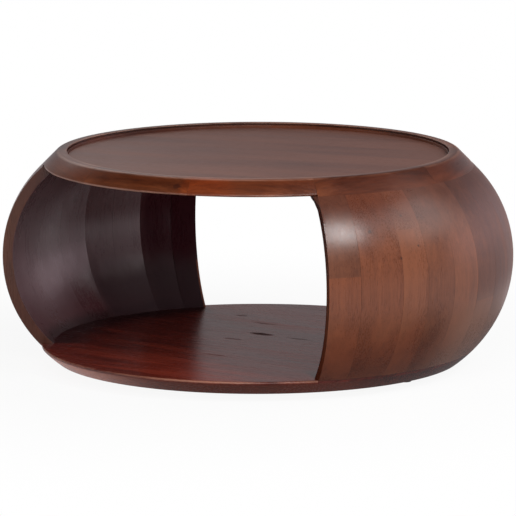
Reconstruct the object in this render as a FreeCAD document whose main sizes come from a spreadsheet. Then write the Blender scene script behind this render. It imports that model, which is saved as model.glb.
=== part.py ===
import FreeCAD, Part
import math
import os
import Sketcher
from FreeCAD import Placement, Rotation, Vector

# A round, barrel-shaped table of stained hardwood, 900 mm across and 380 mm high.
# Two coopered shells stand on a round base and carry a rimmed tray. Between them the
# drum is open front and back. Z is up, the floor is at zero and the drum's axis is the
# Z axis. The right shell is centred on +X, the left one on -X, and the way through
# runs along Y. Angles run anticlockwise from +X, seen from above.

SIZES = {
    # Outer curve of the drum, shared by base, staves and rim
    "drum_height": 368,         # underside of the base to the top of the rim
    "belly_radius": 450,        # greatest radius
    "belly_height": 182,        # height of the greatest radius above the base's underside
    "base_inset": 92,           # greatest radius in to the base's under edge
    "shoulder_inset": 61.8,     # greatest radius in to where the upper curve runs out straight
    "shoulder_drop": 36,        # top of the rim down to that place
    "top_inset": 97.5,          # greatest radius in to the rim's top edge
    # Shells
    "shell_angle": 77.5,        # angle that each shell takes of the full circle
    "wall": 18,                 # thickness of a stave, square to the curve
    "planing": 3,               # wood planed off inside to leave each stave flat across
    # Base
    "base_thickness": 25,
    "base_ease": 7,             # width of the rounded top edge in the openings
    # Rim and tray
    "rim_thickness": 27,
    "rim_width": 16.5,          # flat top of the rim, across, with its rounded edge
    "tray_depth": 9.5,          # top of the rim down to the tray's floor
    "bead_drop": 4.5,           # top of the rim down to the small step
    "bead_width": 2,            # width of the small step
    "lip_thickness": 1.2,       # rim's inner lip above the shadow groove
    "groove_depth": 4,          # rim's inner edge out to the bottom of the shadow groove
    "tray_turn": 15.5,          # angle from the base's boards to the tray's
    "shoulder_ease": 4.5,       # width of the rounding on the rim's top edge
    "lip_ease": 6,              # width of the rounding under the rim in the openings
    "tongue_length": 9,         # how far the tray's tongue enters the rim
    "tongue_thickness": 6.5,
    "tongue_rise": 5,           # underside of the tray up to the tongue
    "tongue_play": 0.25,        # room above and behind the tongue, and round the tray
    # Loose splines across the joints of the rim
    "spline_length": 24,
    "spline_width": 15,
    "spline_thickness": 4,
    "spline_drop": 8,           # top of the rim down to the spline
    "spline_inset": 5,          # tray's edge out to the spline
    "spline_play": 0.2,
    # Dowels that hold the staves to base and rim
    "dowel_radius": 4,
    "dowel_in_stave": 18,
    "dowel_in_plank": 14,       # depth in the base or the rim
    "dowel_play": 0.1,          # room round a dowel
    "dowel_gap": 0.8,           # room beyond each end of a dowel
    # Feet
    "foot_height": 12,
    "foot_radius": 13,
    "foot_ease": 1.5,           # bevel round the foot's lower edge
    "foot_inset": 46,           # under edge of the base in to the middle of a foot
    "recess_radius": 6.5,
    "recess_height": 6,
    "screw_head_radius": 5,
    "screw_head_height": 3,
    "screw_radius": 2.25,
    "screw_length": 22,         # below the head
    "screw_play": 0.1,
    # One overrun for all cuts
    "overrun": 4,
}

BASE_BOARDS = 7
TRAY_BOARDS = 7
FEET = 3
RIM_OPENING_SEGMENTS = 3        # rim segments over each opening
RIM_SHELL_SEGMENTS = 2          # rim segments over each shell

# Each stave's share of its shell's angle, anticlockwise. The widths are uneven, as
# staves sawn from whatever boards there are.
RIGHT_STAVE_SHARES = (0.095, 0.135, 0.09, 0.105, 0.115, 0.115, 0.115, 0.115, 0.115)
LEFT_STAVE_SHARES = (0.081, 0.108, 0.108, 0.108, 0.119, 0.119, 0.119, 0.119, 0.119)

# Some staves are two blocks butted end to end, here with the height of the joint as a
# share of the stave's height.
RIGHT_BUTT_SHARES = {1: 0.59, 3: 0.81, 6: 0.36}
LEFT_BUTT_SHARES = {2: 0.68, 5: 0.42, 8: 0.55}


class Size:
    """A number with the text that works it out from the sheet's cells."""

    def __init__(self, value, text):
        self.value = value
        self.text = text

    def __add__(self, other):
        other = as_size(other)
        return Size(self.value + other.value, f"({self.text} + {other.text})")

    def __sub__(self, other):
        other = as_size(other)
        return Size(self.value - other.value, f"({self.text} - {other.text})")

    def __mul__(self, other):
        other = as_size(other)
        return Size(self.value * other.value, f"({self.text} * {other.text})")

    def __truediv__(self, other):
        other = as_size(other)
        return Size(self.value / other.value, f"({self.text} / {other.text})")

    def __radd__(self, other):
        return as_size(other) + self

    def __rsub__(self, other):
        return as_size(other) - self

    def __rmul__(self, other):
        return as_size(other) * self

    def __neg__(self):
        return Size(-self.value, f"(-1 * {self.text})")

    def root(self):
        return Size(math.sqrt(self.value), f"sqrt({self.text})")


def as_size(item):
    """Take a plain number or a Size as a Size."""
    if isinstance(item, Size):
        return item
    return Size(float(item), f"({item})" if item < 0 else f"{item}")


doc = FreeCAD.newDocument("DrumTable")
sheet = doc.addObject("Spreadsheet::Sheet", "Sizes")
parts = []


def cell(name, text):
    """Put the next cell of the sheet under a name."""
    place = f"B{len(cells) + 1}"
    sheet.set(f"A{len(cells) + 1}", name)
    sheet.set(place, text)
    sheet.setAlias(place, name)
    cells.append(name)


def derived(name, size):
    """Keep a worked-out size in the sheet and go on with its name."""
    cell(name, "=" + size.text.replace("Sizes.", ""))
    return Size(size.value, "Sizes." + name)


cells = []
for size_name, number in SIZES.items():
    cell(size_name, str(number))
S = {size_name: Size(float(number), "Sizes." + size_name) for size_name, number in SIZES.items()}


def chord(radius, rise):
    """Half the chord of a circle at a height from its centre."""
    return (radius * radius - rise * rise).root()


def reach(across, up):
    """Length of a slanting line."""
    return (across * across + up * up).root()


def arc_radius(rise, run):
    """Radius of an arc that leaves upright and falls in by a run over a rise."""
    return (rise * rise + run * run) / (2 * run)


# Heights
base_under = S["foot_height"]
base_top = derived("base_top", base_under + S["base_thickness"])
belly_z = derived("belly_z", base_under + S["belly_height"])
table_top = derived("table_top", base_under + S["drum_height"])
rim_under = derived("rim_under", table_top - S["rim_thickness"])
shoulder_z = derived("shoulder_z", table_top - S["shoulder_drop"])
shoulder_rise = derived("shoulder_rise", shoulder_z - belly_z)

# Outer curve: two arcs that meet upright at the belly, then a straight shoulder
base_under_radius = derived("base_under_radius", S["belly_radius"] - S["base_inset"])
shoulder_radius = derived("shoulder_radius", S["belly_radius"] - S["shoulder_inset"])
rim_top_radius = derived("rim_top_radius", S["belly_radius"] - S["top_inset"])
lower_arc = derived("lower_arc", arc_radius(S["belly_height"], S["base_inset"]))
upper_arc = derived("upper_arc", arc_radius(shoulder_rise, S["shoulder_inset"]))
lower_middle = derived("lower_middle", S["belly_radius"] - lower_arc)
base_top_radius = derived("base_top_radius", lower_middle + chord(lower_arc, belly_z - base_top))

# The straight shoulder, along the rim's face and the top of the staves
shoulder_run = derived("shoulder_run", shoulder_radius - rim_top_radius)
shoulder_length = derived("shoulder_length", reach(shoulder_run, S["shoulder_drop"]))
shoulder_cos = derived("shoulder_cos", S["shoulder_drop"] / shoulder_length)
shoulder_sin = derived("shoulder_sin", shoulder_run / shoulder_length)
shoulder_slope = derived("shoulder_slope", shoulder_run / S["shoulder_drop"])
rim_under_radius = derived("rim_under_radius", rim_top_radius + shoulder_slope * S["rim_thickness"])
tray_radius = derived("tray_radius", rim_top_radius - S["rim_width"])

# Inner curve: the outer one moved in by the wall, square to the curve
inner_lower_arc = derived("inner_lower_arc", lower_arc - S["wall"])
inner_upper_arc = derived("inner_upper_arc", upper_arc - S["wall"])
inner_belly = derived("inner_belly", S["belly_radius"] - S["wall"])
inner_foot = derived("inner_foot", lower_middle + chord(inner_lower_arc, belly_z - base_top))
inner_shoulder_z = derived("inner_shoulder_z", shoulder_z - S["wall"] * shoulder_sin)
inner_shoulder = derived("inner_shoulder", shoulder_radius - S["wall"] * shoulder_cos)
inner_top = derived("inner_top", rim_under_radius - S["wall"] / shoulder_cos)

# Middle of the wall where a stave meets base and rim, and its lean there
middle_lower_arc = derived("middle_lower_arc", lower_arc - S["wall"] / 2)
foot_rise = derived("foot_rise", belly_z - base_top)
foot_chord = derived("foot_chord", chord(middle_lower_arc, foot_rise))
foot_middle = derived("foot_middle", lower_middle + foot_chord)
top_middle = derived("top_middle", (rim_under_radius + inner_top) / 2)
tray_floor_radius = derived("tray_floor_radius", tray_radius - S["bead_width"])
foot_circle = derived("foot_circle", base_under_radius - S["foot_inset"])
clear_inside = derived("clear_inside", inner_foot + inner_top - inner_belly)  # inside all staves


def origin_plane(body, role):
    """Find one of a body's own base planes."""
    for feature in body.Origin.OriginFeatures:
        if feature.Role == role:
            return feature


def new_body(label):
    """Start a sub-part under its own name."""
    body = doc.addObject("PartDesign::Body", label)
    body.Label = label
    parts.append(body)
    return body


def bind(item, path, size):
    """Tie one property of an object to the sheet."""
    item.setExpression(path, as_size(size).text)


def turned(body, angle):
    """Turn a finished body about the drum's axis."""
    body.Placement = Placement(Vector(), Rotation(Vector(0, 0, 1), angle.value))


def arc_between(start, end, radius):
    """Arc of a circle from start to end, bulging right of the way for a radius above zero."""
    middle = (start + end) * 0.5
    half = (end - start) * 0.5
    away = math.sqrt(radius * radius - half.Length * half.Length)
    left = Vector(-half.y, half.x, 0).normalize()
    centre = middle + left * math.copysign(away, radius)
    bulge = middle - centre
    top = centre + bulge.normalize() * abs(radius)
    return Part.Arc(start, top, end)


def outline(body, name, role, corners, arcs=None, swing=0, lift=None):
    """Draw a closed outline whose corners and radii are held to the sheet.

    Corners are (across, up) pairs of sizes. Arcs give the radius for the edge that
    leaves a corner. Swing turns the drawing about its upright line, and lift moves it
    off its plane.
    """
    arcs = arcs or {}
    sketch = body.newObject("Sketcher::SketchObject", name)
    sketch.AttachmentSupport = [(origin_plane(body, role), "")]
    sketch.MapMode = "FlatFace"
    offset = Vector(0, 0, as_size(lift).value if lift is not None else 0)
    sketch.AttachmentOffset = Placement(offset, Rotation(Vector(0, 1, 0), swing))
    if lift is not None:
        bind(sketch, "AttachmentOffset.Base.z", lift)
    sized = [(as_size(across), as_size(up)) for across, up in corners]
    points = [Vector(across.value, up.value, 0) for across, up in sized]
    for index, start in enumerate(points):
        end = points[(index + 1) % len(points)]
        if index in arcs:
            curve = arc_between(start, end, arcs[index].value)
            edge = sketch.addGeometry(Part.ArcOfCircle(*circle_ends(curve)), False)
        else:
            edge = sketch.addGeometry(Part.LineSegment(start, end), False)
        if index != edge:
            raise RuntimeError(f"{name}: edge {index} was drawn as {edge}")
    ends = [corner_points(sketch, index, point) for index, point in enumerate(points)]
    for index in range(len(points)):
        before = (index - 1) % len(points)
        sketch.addConstraint(Sketcher.Constraint("Coincident", before, ends[before][1], index, ends[index][0]))
    for index, (across, up) in enumerate(sized):
        hold(sketch, "DistanceX", index, ends[index][0], across)
        hold(sketch, "DistanceY", index, ends[index][0], up)
    for index, radius in arcs.items():
        size = radius if radius.value > 0 else -radius
        number = sketch.addConstraint(Sketcher.Constraint("Radius", index, size.value))
        bind(sketch, f"Constraints[{number}]", size)
    return sketch


def circle_ends(curve):
    """Circle and end angles of an arc, run anticlockwise."""
    flat = curve.toShape().Curve
    circle = Part.Circle(flat.Center, Vector(0, 0, 1), flat.Radius)
    ends = [curve.StartPoint, curve.EndPoint]
    if flat.Axis.z < 0:
        ends.reverse()
    first, last = [circle.parameter(point) for point in ends]
    if last < first:
        last += 2 * math.pi
    return circle, first, last


def corner_points(sketch, edge, start):
    """Which end of an edge lies at its first corner, and which at the next."""
    if (sketch.getPoint(edge, 1) - start).Length < 1e-6:
        return 1, 2
    return 2, 1


def hold(sketch, kind, edge, end, size):
    """Hold one corner's place across or up to a size."""
    if size.value == 0:
        axis = -2 if kind == "DistanceX" else -1
        sketch.addConstraint(Sketcher.Constraint("PointOnObject", edge, end, axis))
        return
    number = sketch.addConstraint(Sketcher.Constraint(kind, edge, end, size.value))
    bind(sketch, f"Constraints[{number}]", size)


def volume(body):
    """Volume of a body as it stands."""
    doc.recompute()
    return body.Shape.Volume


def revolved(body, kind, sketch, angle=None):
    """Turn an outline about the drum's axis, all the way or evenly to both sides."""
    before = 0 if kind == "Revolution" else volume(body)
    feature = body.newObject("PartDesign::" + kind, sketch.Name + "_turn")
    feature.Profile = sketch
    feature.ReferenceAxis = (sketch, ["V_Axis"])
    feature.Angle = 360
    if angle is not None:
        feature.Midplane = True
        feature.Angle = angle.value
        bind(feature, "Angle", angle)
    check_change(body, feature, before)
    return feature


def cut_across(body, sketch):
    """Cut an outline through the whole body, to both sides of its plane."""
    before = volume(body)
    feature = body.newObject("PartDesign::Pocket", sketch.Name + "_cut")
    feature.Profile = sketch
    feature.Type = "ThroughAll"
    feature.Midplane = True
    check_change(body, feature, before)
    return feature


def check_change(body, feature, before):
    """Stop if a feature adds or cuts nothing."""
    after = volume(body)
    grows = feature.TypeId == "PartDesign::Revolution"
    if (after > before) != grows or abs(after - before) < 1e-3:
        raise RuntimeError(f"{feature.Name} changes nothing: {before:.1f} to {after:.1f}")


def cut_in(body, sketch, depth, backwards):
    """Cut an outline into the body from its plane."""
    before = volume(body)
    feature = body.newObject("PartDesign::Pocket", sketch.Name + "_cut")
    feature.Profile = sketch
    feature.Reversed = backwards
    feature.Length = depth.value
    bind(feature, "Length", depth)
    check_change(body, feature, before)
    return feature


def bore(body, name, radius, depth, place):
    """Cut a round hole into the body from a place along its direction."""
    before = volume(body)
    hole = body.newObject("PartDesign::SubtractiveCylinder", name)
    hole.Radius = radius.value
    hole.Height = depth.value
    bind(hole, "Radius", radius)
    bind(hole, "Height", depth)
    hole.Placement = place
    after = volume(body)
    if after >= before - 1e-3:
        raise RuntimeError(f"{name} cuts nothing")
    return hole


def spread(count, width):
    """Edges of equal boards laid side by side across a width, from one side to the other."""
    return [width * ((2 * number - count) / (2 * count)) for number in range(count + 1)]


def stave_angles(middle, shares):
    """Middle angle and width of each stave of a shell, in degrees, as sizes."""
    angles = []
    used = 0.0
    for share in shares:
        width = S["shell_angle"] * share
        angles.append((middle + S["shell_angle"] * (used + share / 2 - 0.5), width))
        used += share
    return angles


SHELLS = (
    ("right", stave_angles(0, RIGHT_STAVE_SHARES), RIGHT_BUTT_SHARES),
    ("left", stave_angles(180, LEFT_STAVE_SHARES), LEFT_BUTT_SHARES),
)

# Every dowel's angle: one at the middle of each stave
dowel_angles = [middle.value for _, staves, _ in SHELLS for middle, _ in staves]
dowel_bore = S["dowel_radius"] + S["dowel_play"]
hole_overrun = dowel_bore + S["overrun"]

# A dowel follows the lean of the stave where it enters it. At the foot it leans out
# going up, at the rim it leans in.
foot_lean = math.degrees(math.asin(foot_rise.value / middle_lower_arc.value))
rim_lean = -math.degrees(math.asin(shoulder_sin.value))


def leaning(radius, height, lean, back, angle=0):
    """Place on a dowel's line, a distance back from where it crosses a joint."""
    across = Vector(math.sin(math.radians(lean)), 0, math.cos(math.radians(lean)))
    start = Vector(radius, 0, height) - across * back
    swing = Rotation(Vector(0, 0, 1), angle)
    return Placement(swing.multVec(start), swing * Rotation(Vector(0, 1, 0), lean))


def foot_place(back, angle=0):
    return leaning(foot_middle.value, base_top.value, foot_lean, back, angle)


def rim_place(back, angle=0):
    return leaning(top_middle.value, rim_under.value, rim_lean, back, angle)


# Base: edge-glued boards that run from shell to shell, turned to the drum's curve

def base_board(number, near, far):
    """One board of the round base, with its share of the turned edge."""
    body = new_body(f"base_board_{number}")
    rough = base_top_radius + S["overrun"]
    plank = outline(body, f"plank_{number}", "XY_Plane", [
        (-rough, near), (rough, near), (rough, far), (-rough, far),
    ], lift=base_under)
    pad = body.newObject("PartDesign::Pad", f"board_{number}")
    pad.Profile = plank
    pad.Length = S["base_thickness"].value
    bind(pad, "Length", S["base_thickness"])
    past = rough + rough
    edge = outline(body, f"edge_{number}", "XZ_Plane", [
        (base_under_radius, base_under - S["overrun"]),
        (past, base_under - S["overrun"]),
        (past, base_top + S["overrun"]),
        (base_top_radius, base_top + S["overrun"]),
        (base_top_radius, base_top),
        (base_under_radius, base_under),
    ], arcs={4: -lower_arc})
    revolved(body, "Groove", edge)
    outer = far if far.value > -near.value else -near
    if outer.value > opening_side.value:
        ease_base_edge(body, number, 90 if far.value > -near.value else -90)
    drill_base(body, number, near, far)
    return body


def ease_base_edge(body, number, swing):
    """Round the base's top edge by hand where the opening leaves it free."""
    slope_cos = chord(lower_arc, foot_rise) / lower_arc
    slope_sin = foot_rise / lower_arc
    low = base_top - S["base_ease"] * slope_cos
    low_radius = lower_middle + chord(lower_arc, belly_z - low)
    round_radius = S["base_ease"] * (1 - slope_sin) / slope_cos
    ease = outline(body, f"ease_{number}", "XZ_Plane", [
        (low_radius, low),
        (base_top_radius + S["overrun"], low),
        (base_top_radius + S["overrun"], base_top + S["overrun"]),
        (base_top_radius - S["base_ease"], base_top + S["overrun"]),
        (base_top_radius - S["base_ease"], base_top),
    ], arcs={4: -round_radius}, swing=swing)
    revolved(body, "Groove", ease, opening_angle)


def drill_base(body, number, near, far):
    """Bore what a board holds of the stave dowels and of the feet's screws."""
    depth = S["dowel_in_plank"] + S["dowel_gap"]
    for index, angle in enumerate(dowel_angles):
        place = foot_place(depth.value, angle)
        across = foot_place(0, angle).Base.y
        end = max(across, place.Base.y) + dowel_bore.value
        start = min(across, place.Base.y) - dowel_bore.value
        if end > near.value and start < far.value:
            bore(body, f"dowel_hole_{number}_{index}", dowel_bore, depth + hole_overrun, place)
    pilot = S["screw_radius"] + S["screw_play"]
    for index in range(FEET):
        place = foot_screw_place(index)
        if place.Base.y + pilot.value > near.value and place.Base.y - pilot.value < far.value:
            depth = S["screw_length"] + S["dowel_gap"]
            bore(body, f"screw_hole_{number}_{index}", pilot, depth, place)


def foot_screw_place(index):
    """Place of a screw's shoulder under its head, pointing up."""
    angle = math.radians(360 * index / FEET)
    across = foot_circle.value
    return Placement(
        Vector(across * math.cos(angle), across * math.sin(angle), S["recess_height"].value),
        Rotation(),
    )


opening_angle = 180 - S["shell_angle"]
opening_side = base_top_radius * math.sin(math.radians(S["shell_angle"].value / 2))


def board_edges(count, radius):
    """Sides of the boards, where the outermost ones run past the turned edge."""
    edges = spread(count, 2 * radius)
    edges[0] = edges[0] - S["overrun"]
    edges[-1] = edges[-1] + S["overrun"]
    return edges


base_edges = board_edges(BASE_BOARDS, base_top_radius)
for number in range(BASE_BOARDS):
    base_board(number + 1, base_edges[number], base_edges[number + 1])


# Tray: thinner boards, turned with a tongue that sits in the rim's groove

tongue_low = derived("tongue_low", rim_under + S["tongue_rise"])
tongue_high = derived("tongue_high", tongue_low + S["tongue_thickness"])
tray_floor = derived("tray_floor", table_top - S["tray_depth"])
tongue_radius = derived("tongue_radius", tray_floor_radius + S["tongue_length"])
tray_edge_radius = derived("tray_edge_radius", tray_floor_radius - S["tongue_play"])


def tray_board(number, near, far):
    """One board of the tray's floor with its share of the tongue."""
    body = new_body(f"tray_board_{number}")
    rough = tongue_radius + S["overrun"]
    plank = outline(body, f"tray_plank_{number}", "XY_Plane", [
        (-rough, near), (rough, near), (rough, far), (-rough, far),
    ], lift=rim_under)
    pad = body.newObject("PartDesign::Pad", f"tray_pad_{number}")
    pad.Profile = plank
    pad.Length = (tray_floor - rim_under).value
    bind(pad, "Length", tray_floor - rim_under)
    past = rough + rough
    edge = outline(body, f"tongue_{number}", "XZ_Plane", [
        (tray_edge_radius, rim_under - S["overrun"]),
        (past, rim_under - S["overrun"]),
        (past, tray_floor + S["overrun"]),
        (tray_edge_radius, tray_floor + S["overrun"]),
        (tray_edge_radius, tongue_high),
        (tongue_radius, tongue_high),
        (tongue_radius, tongue_low),
        (tray_edge_radius, tongue_low),
    ])
    revolved(body, "Groove", edge)
    turned(body, S["tray_turn"])
    return body


tray_edges = board_edges(TRAY_BOARDS, tongue_radius)
for number in range(TRAY_BOARDS):
    tray_board(number + 1, tray_edges[number], tray_edges[number + 1])


# Rim: segments that follow the drum's curve outside and hold the tray inside. A narrow
# shadow groove runs round under the rim's inner lip.

def rim_corners(eased):
    """Cross-section of the rim; over the openings its lower edge is rounded."""
    step_z = table_top - S["bead_drop"]
    groove_high = tongue_high + S["tongue_play"]
    groove_radius = tongue_radius + S["tongue_play"]
    ease = S["shoulder_ease"]
    corners = [
        (tray_floor_radius, rim_under),
        (rim_under_radius - S["lip_ease"], rim_under) if eased else (rim_under_radius, rim_under),
    ]
    arcs = {}
    if eased:
        lip = S["lip_ease"]
        arcs[1] = lip * (1 - shoulder_sin) / shoulder_cos
        corners.append((rim_under_radius - lip * shoulder_sin, rim_under + lip * shoulder_cos))
    arcs[len(corners)] = ease * shoulder_cos / (1 - shoulder_sin)
    corners += [
        (rim_top_radius + ease * shoulder_sin, table_top - ease * shoulder_cos),
        (rim_top_radius - ease, table_top),
        (tray_radius, table_top),
        (tray_radius, table_top - S["lip_thickness"]),
        (tray_radius + S["groove_depth"], table_top - S["lip_thickness"]),
        (tray_radius + S["groove_depth"], step_z),
        (tray_floor_radius, step_z),
        (tray_floor_radius, groove_high),
        (groove_radius, groove_high),
        (groove_radius, tongue_low),
        (tray_floor_radius, tongue_low),
    ]
    return corners, arcs


def rim_segment(number, middle, angle, eased):
    """One segment of the rim with a slot for a spline at each end."""
    body = new_body(f"rim_segment_{number}")
    corners, arcs = rim_corners(eased)
    section = outline(body, f"rim_section_{number}", "XZ_Plane", corners, arcs)
    revolved(body, "Revolution", section, angle)
    inner = tray_radius + S["spline_inset"] - S["spline_play"]
    outer = tray_radius + S["spline_inset"] + S["spline_width"] + S["spline_play"]
    high = table_top - S["spline_drop"] + S["spline_play"]
    low = table_top - S["spline_drop"] - S["spline_thickness"] - S["spline_play"]
    for end, side in (("start", -1), ("end", 1)):
        slot = outline(body, f"slot_{number}_{end}", "XZ_Plane", [
            (inner, low), (outer, low), (outer, high), (inner, high),
        ], swing=side * angle.value / 2)
        cut_in(body, slot, S["spline_length"] / 2 + S["spline_play"], side > 0)
    drill_rim(body, number, middle, angle)
    turned(body, middle)
    return body


def drill_rim(body, number, middle, angle):
    """Bore what a segment holds of the stave dowels, from its underside."""
    depth = S["dowel_in_plank"] + S["dowel_gap"]
    spare = math.degrees(dowel_bore.value / top_middle.value)
    for index, dowel_angle in enumerate(dowel_angles):
        away = (dowel_angle - middle.value + 180) % 360 - 180
        if abs(away) < angle.value / 2 + spare:
            place = rim_place(hole_overrun.value, away)
            bore(body, f"rim_hole_{number}_{index}", dowel_bore, depth + hole_overrun, place)


def rim_plan():
    """Start, width and kind of each rim segment, anticlockwise from the right shell."""
    plan = []
    start = -S["shell_angle"] / 2
    for _ in SHELLS:
        for count, span, eased in (
            (RIM_SHELL_SEGMENTS, S["shell_angle"], False),
            (RIM_OPENING_SEGMENTS, opening_angle, True),
        ):
            for _ in range(count):
                plan.append((start, span / count, eased))
                start = start + span / count
    return plan


for number, (start, width, eased) in enumerate(rim_plan(), 1):
    rim_segment(number, start + width / 2, width, eased)


# Staves: sawn to the drum's curve, bevelled at their sides and left flat across inside.
# The outside is turned round once they are glued together.

def stave_section(body, inset):
    """Section of a stave; the inset moves its inner side towards the axis."""
    return outline(body, body.Label + "_section", "XZ_Plane", [
        (inner_foot - inset, base_top),
        (base_top_radius, base_top),
        (S["belly_radius"], belly_z),
        (shoulder_radius, shoulder_z),
        (rim_under_radius, rim_under),
        (inner_top - inset, rim_under),
        (inner_shoulder - inset, inner_shoulder_z),
        (inner_belly - inset, belly_z),
    ], arcs={
        1: lower_arc,
        2: upper_arc,
        6: -inner_upper_arc,
        7: -inner_lower_arc,
    })


def plane_inside(body):
    """Leave the inner side flat from edge to edge, curved only up and down."""
    flat = outline(body, body.Label + "_inside", "XZ_Plane", [
        (clear_inside, base_top - S["overrun"]),
        (inner_foot, base_top - S["overrun"]),
        (inner_foot, base_top),
        (inner_belly, belly_z),
        (inner_shoulder, inner_shoulder_z),
        (inner_top, rim_under),
        (inner_top, rim_under + S["overrun"]),
        (clear_inside, rim_under + S["overrun"]),
    ], arcs={2: inner_lower_arc, 3: inner_upper_arc})
    cut_across(body, flat)


def saw_off(body, low, high):
    """Take away what lies between two heights, past the staves on both sides."""
    outside = S["belly_radius"] + S["overrun"]
    waste = outline(body, body.Label + "_waste", "XZ_Plane", [
        (clear_inside, low), (outside, low), (outside, high), (clear_inside, high),
    ])
    cut_across(body, waste)


def stave(label, middle, width, joint=None, block=None):
    """One stave, or its lower or upper block where it is butted end to end."""
    body = new_body(label)
    revolved(body, "Revolution", stave_section(body, S["planing"]), width)
    plane_inside(body)
    if block == "lower":
        saw_off(body, joint, rim_under + S["overrun"])
    if block == "upper":
        saw_off(body, base_top - S["overrun"], joint)
    depth = S["dowel_in_stave"] + S["dowel_gap"] + hole_overrun
    if block != "upper":
        bore(body, label + "_foot_hole", dowel_bore, depth, foot_place(hole_overrun.value))
    if block != "lower":
        place = rim_place((S["dowel_in_stave"] + S["dowel_gap"]).value)
        bore(body, label + "_rim_hole", dowel_bore, depth, place)
    turned(body, middle)
    return body


for side, staves, joints in SHELLS:
    for number, (middle, width) in enumerate(staves, 1):
        label = f"stave_{side}_{number}"
        if number not in joints:
            stave(label, middle, width)
            continue
        joint = base_top + (rim_under - base_top) * joints[number]
        stave(label + "_lower", middle, width, joint, "lower")
        stave(label + "_upper", middle, width, joint, "upper")


# Dowels and splines: plain turned and planed pieces, alike and kept as groups

def grouped(label, pieces):
    """Keep like pieces together under one name."""
    group = doc.addObject("Part::Compound", label)
    group.Label = label
    group.Links = pieces
    parts.append(group)
    return group


def dowel(label, place):
    """One dowel, lying across a joint."""
    piece = doc.addObject("Part::Cylinder", label)
    bind(piece, "Radius", S["dowel_radius"])
    bind(piece, "Height", S["dowel_in_stave"] + S["dowel_in_plank"])
    piece.Placement = place
    return piece


grouped("base_dowels", [
    dowel(f"base_dowel_{index}", foot_place(S["dowel_in_plank"].value, angle))
    for index, angle in enumerate(dowel_angles)
])
grouped("rim_dowels", [
    dowel(f"rim_dowel_{index}", rim_place(S["dowel_in_stave"].value, angle))
    for index, angle in enumerate(dowel_angles)
])


def spline(number, angle):
    """A flat tongue across one joint of the rim."""
    piece = doc.addObject("Part::Box", f"rim_spline_{number}")
    bind(piece, "Length", S["spline_width"])
    bind(piece, "Width", S["spline_length"])
    bind(piece, "Height", S["spline_thickness"])
    corner = Vector(
        (tray_radius + S["spline_inset"]).value,
        (-S["spline_length"] / 2).value,
        (table_top - S["spline_drop"] - S["spline_thickness"]).value,
    )
    swing = Rotation(Vector(0, 0, 1), angle.value)
    piece.Placement = Placement(swing.multVec(corner), swing)
    return piece


grouped("rim_splines", [
    spline(number, start) for number, (start, _, _) in enumerate(rim_plan(), 1)
])


# Feet: three turned pads, each screwed up into the base through its recess

def foot(number):
    """One foot, hollow below for the head of its screw."""
    body = new_body(f"foot_{number}")
    shank = S["screw_radius"] + S["screw_play"]
    section = outline(body, f"foot_section_{number}", "XZ_Plane", [
        (S["recess_radius"], 0),
        (S["foot_radius"] - S["foot_ease"], 0),
        (S["foot_radius"], S["foot_ease"]),
        (S["foot_radius"], S["foot_height"]),
        (shank, S["foot_height"]),
        (shank, S["recess_height"]),
        (S["recess_radius"], S["recess_height"]),
    ])
    revolved(body, "Revolution", section)
    place = foot_screw_place(number - 1)
    body.Placement = Placement(Vector(place.Base.x, place.Base.y, 0), Rotation())
    return body


for number in range(1, FEET + 1):
    foot(number)


def foot_screws():
    """The feet's screws, with a domed head, in a ring about the drum's axis."""
    body = new_body("foot_screws")
    body.AllowCompound = True
    middle = foot_circle
    shoulder = S["recess_height"]
    head = S["screw_head_radius"]
    dome = S["screw_head_height"]
    section = outline(body, "screw_section", "XZ_Plane", [
        (middle, shoulder - dome),
        (middle + head, shoulder),
        (middle + S["screw_radius"], shoulder),
        (middle + S["screw_radius"], shoulder + S["screw_length"]),
        (middle, shoulder + S["screw_length"]),
    ], arcs={0: (head * head + dome * dome) / (2 * dome)})
    screw = body.newObject("PartDesign::Revolution", "screw")
    screw.Profile = section
    screw.ReferenceAxis = (section, ["Edge5"])
    screw.Angle = 360
    ring = body.newObject("PartDesign::PolarPattern", "screw_ring")
    ring.Originals = [screw]
    ring.Axis = (origin_plane(body, "Z_Axis"), [""])
    ring.Angle = 360
    ring.Occurrences = FEET
    body.Tip = ring
    return body


foot_screws()


# Every piece is checked before any is written

doc.recompute()
faults = [item.Label for item in doc.Objects if "Invalid" in item.State or "Error" in item.State]
for part in parts:
    shape = part.Shape
    if shape.isNull() or not shape.isValid() or not shape.Solids:
        faults.append(part.Label)
if faults:
    raise RuntimeError("faulty: " + ", ".join(faults))

os.makedirs("parts", exist_ok=True)
for part in parts:
    part.Shape.exportStep(f"parts/{part.Label}.step")
print(f"{len(parts)} sub-parts, {sum(len(part.Shape.Solids) for part in parts)} solids")
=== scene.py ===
import math
import random

import bmesh
import bpy
from mathutils import Matrix, Vector


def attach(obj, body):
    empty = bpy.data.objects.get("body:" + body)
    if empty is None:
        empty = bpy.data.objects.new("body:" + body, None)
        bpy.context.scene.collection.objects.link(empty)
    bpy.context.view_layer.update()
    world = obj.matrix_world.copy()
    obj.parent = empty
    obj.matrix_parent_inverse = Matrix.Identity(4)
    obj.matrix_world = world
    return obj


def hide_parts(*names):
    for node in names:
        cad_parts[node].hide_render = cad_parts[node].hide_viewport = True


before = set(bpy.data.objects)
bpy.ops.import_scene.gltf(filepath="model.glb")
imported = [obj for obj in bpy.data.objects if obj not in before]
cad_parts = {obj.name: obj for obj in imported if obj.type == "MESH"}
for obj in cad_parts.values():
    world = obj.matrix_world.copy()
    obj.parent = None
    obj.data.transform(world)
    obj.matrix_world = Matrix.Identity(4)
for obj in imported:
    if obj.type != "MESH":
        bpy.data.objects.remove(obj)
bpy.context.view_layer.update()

# Feet
# Three short turned pads of hardwood, stained nearly black. Each is screwed up into the
# base through a recess in its underside, and carries the table clear of the floor.

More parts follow.
